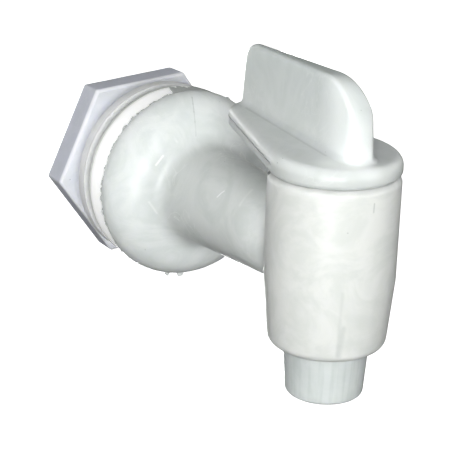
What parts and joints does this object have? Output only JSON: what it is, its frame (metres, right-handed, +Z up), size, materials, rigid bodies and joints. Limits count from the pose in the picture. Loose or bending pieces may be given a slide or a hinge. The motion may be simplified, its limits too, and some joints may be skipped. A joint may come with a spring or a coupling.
{
  "type": "dispenser tap",
  "caption": "Dispenser tap: a swollen flange and arm carry an upright barrel; a finned lever turns its plug and nozzle, and a gasket, washer and hexagon nut sit on the shank.",
  "frame": {"origin": "on the shank's axis, in the plane of the flange's back face, where the tank wall's outside lies", "axes": "+Y along the shank into the tank, the arm and barrel towards -Y, +Z up along the barrel's axis, +X to the right seen from the front"},
  "size_m": [0.0468, 0.1022, 0.0665],
  "materials": {
    "body_plastic": "satin, slightly translucent, with faint marbling",
    "handle_plastic": "satin, slightly translucent, with faint marbling",
    "gasket_rubber": "soft matte white",
    "washer_plastic": "satin",
    "nut_plastic": "smooth, faintly bluish white"
  },
  "bodies": {
    "body": {"tap_body": "body_plastic", "front_gasket": "gasket_rubber", "rear_washer": "washer_plastic"},
    "handle": {"handle_plug": "handle_plastic"},
    "nut": {"back_nut": "nut_plastic"}
  },
  "joints": [
    {"name": "handle_turn", "type": "hinge", "parent": "body", "child": "handle", "pos_m": [0, -0.0582, 0], "axis": [0, 0, 1], "range_deg": [-90, 90]},
    {"name": "nut_travel", "type": "slide", "parent": "body", "child": "nut", "axis": [0, 1, 0], "range_m": [-0.0054, 0.014]}
  ]
}
